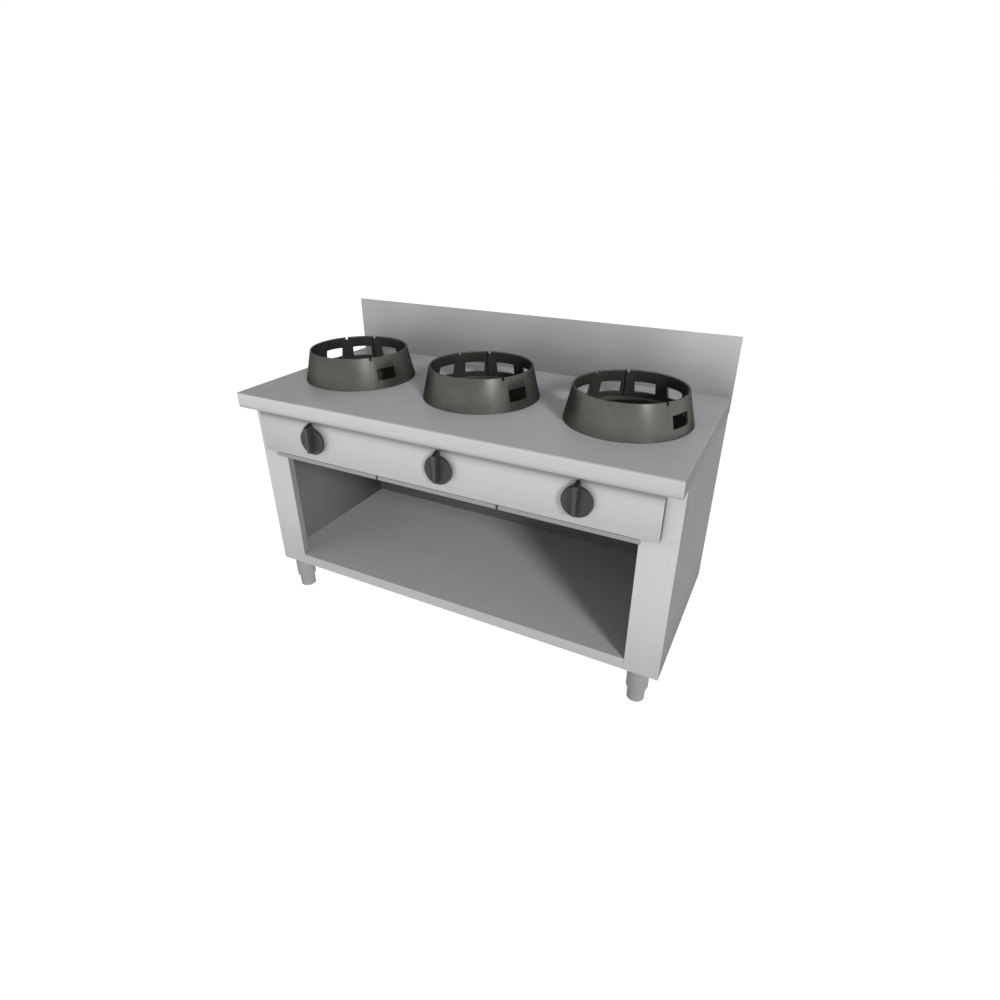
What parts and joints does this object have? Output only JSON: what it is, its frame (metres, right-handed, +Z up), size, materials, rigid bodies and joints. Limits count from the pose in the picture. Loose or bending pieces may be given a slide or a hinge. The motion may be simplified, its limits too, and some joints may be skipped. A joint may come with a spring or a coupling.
{
  "type": "wok range",
  "caption": "Floor-standing gas wok range: sheet-steel worktop with upstand, cast wok rings over burners, knobs in a front panel, pull-out spill trays and an open compartment with a shelf.",
  "frame": {"origin": "centre of the footprint, on the floor", "axes": "+X to the right as seen by the cook, +Y to the back, +Z up"},
  "size_m": [1.5, 0.7, 1.025],
  "materials": {
    "stainless": "satin stainless sheet",
    "stainless_inner": "satin stainless sheet",
    "cast_iron": "grey cast iron, smooth",
    "knob_plastic": "dark grey, satin",
    "brass": "machined",
    "steel_pipe": "steel pipe, painted",
    "spacer_rubber": "matt",
    "chrome": "bright",
    "galvanised": null
  },
  "bodies": {
    "cabinet": {"base_channels": "stainless_inner", "bottom_shelf": "stainless", "burner_bearers": "galvanised", "burner_bodies": "cast_iron", "burner_well_left": "stainless", "burner_well_middle": "stainless", "burner_well_right": "stainless", "control_panel": "stainless", "front_post_left": "stainless", "front_post_right": "stainless", "gas_feed_tubes": "brass", "gas_inlet_fitting": "brass", "gas_manifold": "steel_pipe", "gas_taps": "brass", "injector_brackets": "galvanised", "injectors": "brass", "inner_wall_left": "stainless_inner", "inner_wall_right": "stainless_inner", "knob_bezels": "stainless", "leg_bolts": "chrome", "leg_sleeves": "stainless", "manifold_brackets": "galvanised", "pilot_burners": "brass", "rear_panel": "stainless_inner", "rear_panel_screws": "chrome", "shelf_stiffeners": "galvanised", "side_panel_left": "stainless", "side_panel_right": "stainless", "splashback": "stainless", "thermocouples": "chrome", "tray_front_spacers": "spacer_rubber", "tray_runners": "galvanised", "venturis": "cast_iron", "worktop": "stainless", "worktop_stiffeners": "galvanised"},
    "ring_left": {"wok_ring_left": "cast_iron"},
    "ring_middle": {"wok_ring_middle": "cast_iron"},
    "ring_right": {"wok_ring_right": "cast_iron"},
    "cap_left": {"burner_cap_left": "cast_iron"},
    "cap_middle": {"burner_cap_middle": "cast_iron"},
    "cap_right": {"burner_cap_right": "cast_iron"},
    "tray_left": {"drip_tray_left": "stainless"},
    "tray_middle": {"drip_tray_middle": "stainless"},
    "tray_right": {"drip_tray_right": "stainless"},
    "foot_front_left": {"foot_front_left": "stainless"},
    "foot_front_right": {"foot_front_right": "stainless"},
    "foot_rear_left": {"foot_rear_left": "stainless"},
    "foot_rear_right": {"foot_rear_right": "stainless"},
    "shutter_left": {"air_shutter_left": "galvanised"},
    "shutter_middle": {"air_shutter_middle": "galvanised"},
    "shutter_right": {"air_shutter_right": "galvanised"},
    "plug_left": {"tap_plug_left": "brass"},
    "knob_left": {"knob_left": "knob_plastic", "tap_stem_left": "chrome"},
    "plug_middle": {"tap_plug_middle": "brass"},
    "knob_middle": {"knob_middle": "knob_plastic", "tap_stem_middle": "chrome"},
    "plug_right": {"tap_plug_right": "brass"},
    "knob_right": {"knob_right": "knob_plastic", "tap_stem_right": "chrome"}
  },
  "joints": [
    {"name": "ring_lift_left", "type": "slide", "parent": "cabinet", "child": "ring_left", "axis": [0, 0, 1], "range_m": [0, 0.15]},
    {"name": "ring_lift_middle", "type": "slide", "parent": "cabinet", "child": "ring_middle", "axis": [0, 0, 1], "range_m": [0, 0.15]},
    {"name": "ring_lift_right", "type": "slide", "parent": "cabinet", "child": "ring_right", "axis": [0, 0, 1], "range_m": [0, 0.15]},
    {"name": "cap_lift_left", "type": "slide", "parent": "cabinet", "child": "cap_left", "axis": [0, 0, 1], "range_m": [0, 0.12]},
    {"name": "cap_lift_middle", "type": "slide", "parent": "cabinet", "child": "cap_middle", "axis": [0, 0, 1], "range_m": [0, 0.12]},
    {"name": "cap_lift_right", "type": "slide", "parent": "cabinet", "child": "cap_right", "axis": [0, 0, 1], "range_m": [0, 0.12]},
    {"name": "tray_pull_left", "type": "slide", "parent": "cabinet", "child": "tray_left", "axis": [0, -1, 0], "range_m": [0, 0.4]},
    {"name": "tray_pull_middle", "type": "slide", "parent": "cabinet", "child": "tray_middle", "axis": [0, -1, 0], "range_m": [0, 0.4]},
    {"name": "tray_pull_right", "type": "slide", "parent": "cabinet", "child": "tray_right", "axis": [0, -1, 0], "range_m": [0, 0.4]},
    {"name": "foot_adjust_front_left", "type": "slide", "parent": "cabinet", "child": "foot_front_left", "axis": [0, 0, -1], "range_m": [0, 0.05]},
    {"name": "foot_adjust_front_right", "type": "slide", "parent": "cabinet", "child": "foot_front_right", "axis": [0, 0, -1], "range_m": [0, 0.05]},
    {"name": "foot_adjust_rear_left", "type": "slide", "parent": "cabinet", "child": "foot_rear_left", "axis": [0, 0, -1], "range_m": [0, 0.05]},
    {"name": "foot_adjust_rear_right", "type": "slide", "parent": "cabinet", "child": "foot_rear_right", "axis": [0, 0, -1], "range_m": [0, 0.05]},
    {"name": "air_shutter_turn_left", "type": "hinge", "parent": "cabinet", "child": "shutter_left", "pos_m": [-0.5, -0.169, 0.757], "axis": [0, 1, 0], "range_deg": [0, 60]},
    {"name": "air_shutter_turn_middle", "type": "hinge", "parent": "cabinet", "child": "shutter_middle", "pos_m": [0, -0.169, 0.757], "axis": [0, 1, 0], "range_deg": [0, 60]},
    {"name": "air_shutter_turn_right", "type": "hinge", "parent": "cabinet", "child": "shutter_right", "pos_m": [0.5, -0.169, 0.757], "axis": [0, 1, 0], "range_deg": [0, 60]},
    {"name": "tap_turn_left", "type": "hinge", "parent": "cabinet", "child": "plug_left", "pos_m": [-0.465, -0.2575, 0.69], "axis": [0, -1, 0], "range_deg": [0, 210]},
    {"name": "knob_push_left", "type": "slide", "parent": "plug_left", "child": "knob_left", "axis": [0, 1, 0], "range_m": [0, 0.004], "stiffness_N_per_m": 1500},
    {"name": "tap_turn_middle", "type": "hinge", "parent": "cabinet", "child": "plug_middle", "pos_m": [0.027, -0.2575, 0.69], "axis": [0, -1, 0], "range_deg": [0, 210]},
    {"name": "knob_push_middle", "type": "slide", "parent": "plug_middle", "child": "knob_middle", "axis": [0, 1, 0], "range_m": [0, 0.004], "stiffness_N_per_m": 1500},
    {"name": "tap_turn_right", "type": "hinge", "parent": "cabinet", "child": "plug_right", "pos_m": [0.47, -0.2575, 0.69], "axis": [0, -1, 0], "range_deg": [0, 210]},
    {"name": "knob_push_right", "type": "slide", "parent": "plug_right", "child": "knob_right", "axis": [0, 1, 0], "range_m": [0, 0.004], "stiffness_N_per_m": 1500}
  ]
}
